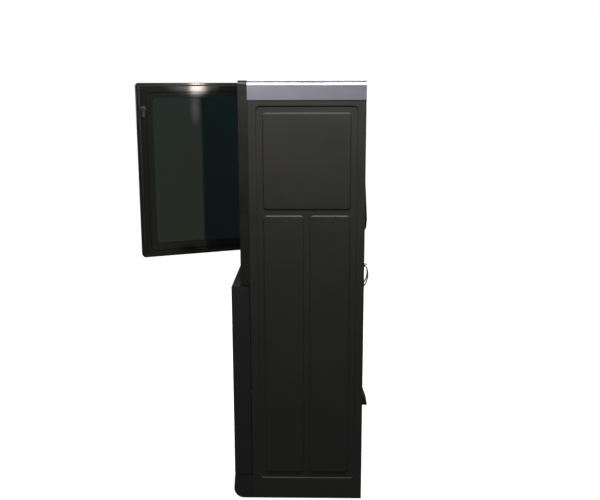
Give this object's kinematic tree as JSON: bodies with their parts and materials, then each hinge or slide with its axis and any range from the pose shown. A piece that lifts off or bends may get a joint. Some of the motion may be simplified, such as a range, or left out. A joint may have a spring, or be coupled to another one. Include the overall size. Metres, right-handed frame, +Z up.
{
  "type": "ticket vending machine",
  "caption": "Free-standing cabinet with pressed side panels, bright top bands, an inset framed glass upper door standing open, and a deep lower door over a toe plinth.",
  "frame": {"origin": "on the floor under the base pan, in the middle of the footprint of the two side panels", "axes": "X across the machine, front faces -Y, +Z up"},
  "size_m": [0.606, 1.0424, 1.832],
  "materials": {
    "charcoal_coat": "fine-textured charcoal powder coat on pressed steel sheet",
    "black_coat": "satin black powder coat",
    "gloss_black": "gloss black lacquer",
    "door_coat": "satin dark grey coat on the glass door's frame",
    "band_aluminium": "brushed and clear anodised",
    "dark_glass": "tinted toughened glass",
    "black_rubber": "matt moulded rubber",
    "screen_glass": "glossy dark display face",
    "galvanised": "zinc-coated sheet",
    "bright_steel": "nickel plated and polished",
    "brushed_steel": "brushed stainless",
    "black_plastic": "moulded black plastic",
    "button_plastic": "moulded translucent grey button",
    "return_red": "moulded red button",
    "clear_plastic": "smoked clear polycarbonate",
    "grey_plastic": "moulded dark grey plastic",
    "ticket_paper": "uncoated thermal card",
    "cash_enamel": "hammered blue-grey enamel"
  },
  "bodies": {
    "cabinet": {"side_panel_right": "charcoal_coat", "side_panel_left": "charcoal_coat", "top_band_right": "band_aluminium", "top_band_left": "band_aluminium", "front_post_right": "gloss_black", "front_post_left": "gloss_black", "roof_panel": "black_coat", "mid_rail": "black_coat", "base_pan": "galvanised", "kick_plinth": "black_coat", "middle_shelf": "galvanised", "printer_shelf": "galvanised", "rear_panel": "charcoal_coat", "rear_panel_screws": "bright_steel", "vent_hood": "black_coat", "cable_hood": "black_coat", "power_inlet": "black_plastic", "hatch_hinge_pins": "bright_steel", "upper_hinge_pins": "bright_steel", "lower_hinge_pins": "bright_steel", "display_monitor": "grey_plastic", "display_screen": "screen_glass", "monitor_bracket": "galvanised", "control_computer": "black_coat", "power_supply": "galvanised", "fan_frame": "black_plastic", "ticket_printer": "grey_plastic", "roll_spindle": "brushed_steel", "coin_hopper": "grey_plastic", "cash_box": "cash_enamel"},
    "upper_door": {"upper_door_frame": "door_coat", "glazing_seal": "black_rubber", "door_glass": "dark_glass", "door_inner_bezel": "door_coat", "door_gasket": "black_rubber", "upper_lock_body": "bright_steel"},
    "upper_lock": {"upper_lock_cam": "black_coat"},
    "lower_door": {"lower_door_shell": "black_coat", "control_panel": "brushed_steel", "coin_slot_bezel": "brushed_steel", "note_acceptor": "black_plastic", "card_reader": "black_plastic", "ticket_chute": "black_plastic", "coin_cup": "black_plastic"},
    "button_1": {"selection_button_1": "button_plastic"},
    "button_2": {"selection_button_2": "button_plastic"},
    "button_3": {"selection_button_3": "button_plastic"},
    "button_4": {"selection_button_4": "button_plastic"},
    "coin_return": {"coin_return_button": "return_red"},
    "ticket_flap": {"ticket_flap": "clear_plastic"},
    "coin_flap": {"coin_flap": "clear_plastic"},
    "lower_handle": {"lower_handle": "bright_steel"},
    "hatch": {"rear_hatch": "charcoal_coat", "hatch_boss": "bright_steel"},
    "hatch_pull": {"hatch_pull": "bright_steel"},
    "fan_rotor": {"fan_rotor": "black_plastic"},
    "platen": {"platen_roller": "black_rubber"},
    "ticket_roll": {"ticket_roll": "ticket_paper"},
    "hopper_disc": {"hopper_disc": "button_plastic"},
    "cash_handle": {"cash_box_handle": "bright_steel"}
  },
  "joints": [
    {"name": "upper_door_hinge", "type": "hinge", "parent": "cabinet", "child": "upper_door", "pos_m": [-0.268, -0.2695, 1.4], "axis": [0, 0, -1], "range_deg": [-67.4, 27.6]},
    {"name": "upper_lock_turn", "type": "hinge", "parent": "upper_door", "child": "upper_lock", "pos_m": [-0.06155, -0.74465, 1.71], "axis": [-0.9232, -0.3843, 0], "range_deg": [0, 90]},
    {"name": "lower_door_hinge", "type": "hinge", "parent": "cabinet", "child": "lower_door", "pos_m": [-0.292, -0.2515, 0.55], "axis": [0, 0, -1], "range_deg": [0, 95]},
    {"name": "button_1_press", "type": "slide", "parent": "lower_door", "child": "button_1", "axis": [0, 1, 0], "range_m": [0, 0.003], "stiffness_N_per_m": 400, "springref_m": -0.001},
    {"name": "button_2_press", "type": "slide", "parent": "lower_door", "child": "button_2", "axis": [0, 1, 0], "range_m": [0, 0.003], "stiffness_N_per_m": 400, "springref_m": -0.001},
    {"name": "button_3_press", "type": "slide", "parent": "lower_door", "child": "button_3", "axis": [0, 1, 0], "range_m": [0, 0.003], "stiffness_N_per_m": 400, "springref_m": -0.001},
    {"name": "button_4_press", "type": "slide", "parent": "lower_door", "child": "button_4", "axis": [0, 1, 0], "range_m": [0, 0.003], "stiffness_N_per_m": 400, "springref_m": -0.001},
    {"name": "coin_return_press", "type": "slide", "parent": "lower_door", "child": "coin_return", "axis": [0, 1, 0], "range_m": [0, 0.003], "stiffness_N_per_m": 400, "springref_m": -0.001},
    {"name": "ticket_flap_swing", "type": "hinge", "parent": "lower_door", "child": "ticket_flap", "pos_m": [-0.06, -0.3155, 0.636], "axis": [1, 0, 0], "range_deg": [0, 65]},
    {"name": "coin_flap_swing", "type": "hinge", "parent": "lower_door", "child": "coin_flap", "pos_m": [0.135, -0.3155, 0.636], "axis": [1, 0, 0], "range_deg": [0, 65]},
    {"name": "lower_handle_turn", "type": "hinge", "parent": "lower_door", "child": "lower_handle", "pos_m": [0.236, -0.3, 0.479], "axis": [0, -1, 0], "range_deg": [0, 90]},
    {"name": "rear_hatch_hinge", "type": "hinge", "parent": "cabinet", "child": "hatch", "pos_m": [-0.24, 0.2375, 0.88], "axis": [0, 0, 1], "range_deg": [0, 110]},
    {"name": "hatch_pull_swing", "type": "hinge", "parent": "hatch", "child": "hatch_pull", "pos_m": [0.195, 0.251, 1.05], "axis": [1, 0, 0], "range_deg": [0, 80]},
    {"name": "fan_spin", "type": "hinge", "parent": "cabinet", "child": "fan_rotor", "pos_m": [0, 0.215, 1.34], "axis": [0, 1, 0], "continuous": true},
    {"name": "ticket_roll_spin", "type": "hinge", "parent": "cabinet", "child": "ticket_roll", "pos_m": [-0.085, 0.039, 0.678], "axis": [1, 0, 0], "continuous": true},
    {"name": "platen_spin", "type": "hinge", "parent": "cabinet", "child": "platen", "pos_m": [-0.085, -0.163, 0.7], "axis": [1, 0, 0], "continuous": true},
    {"name": "hopper_disc_spin", "type": "hinge", "parent": "cabinet", "child": "hopper_disc", "pos_m": [0.14, -0.09, 0.66], "axis": [0, 0, 1], "continuous": true},
    {"name": "cash_handle_lift", "type": "hinge", "parent": "cabinet", "child": "cash_handle", "pos_m": [0.135, -0.085, 0.191], "axis": [-1, 0, 0], "range_deg": [0, 90]}
  ],
  "couplings": [
    {"joint": "platen_spin", "follows": "ticket_roll_spin", "ratio": 8.5}
  ]
}
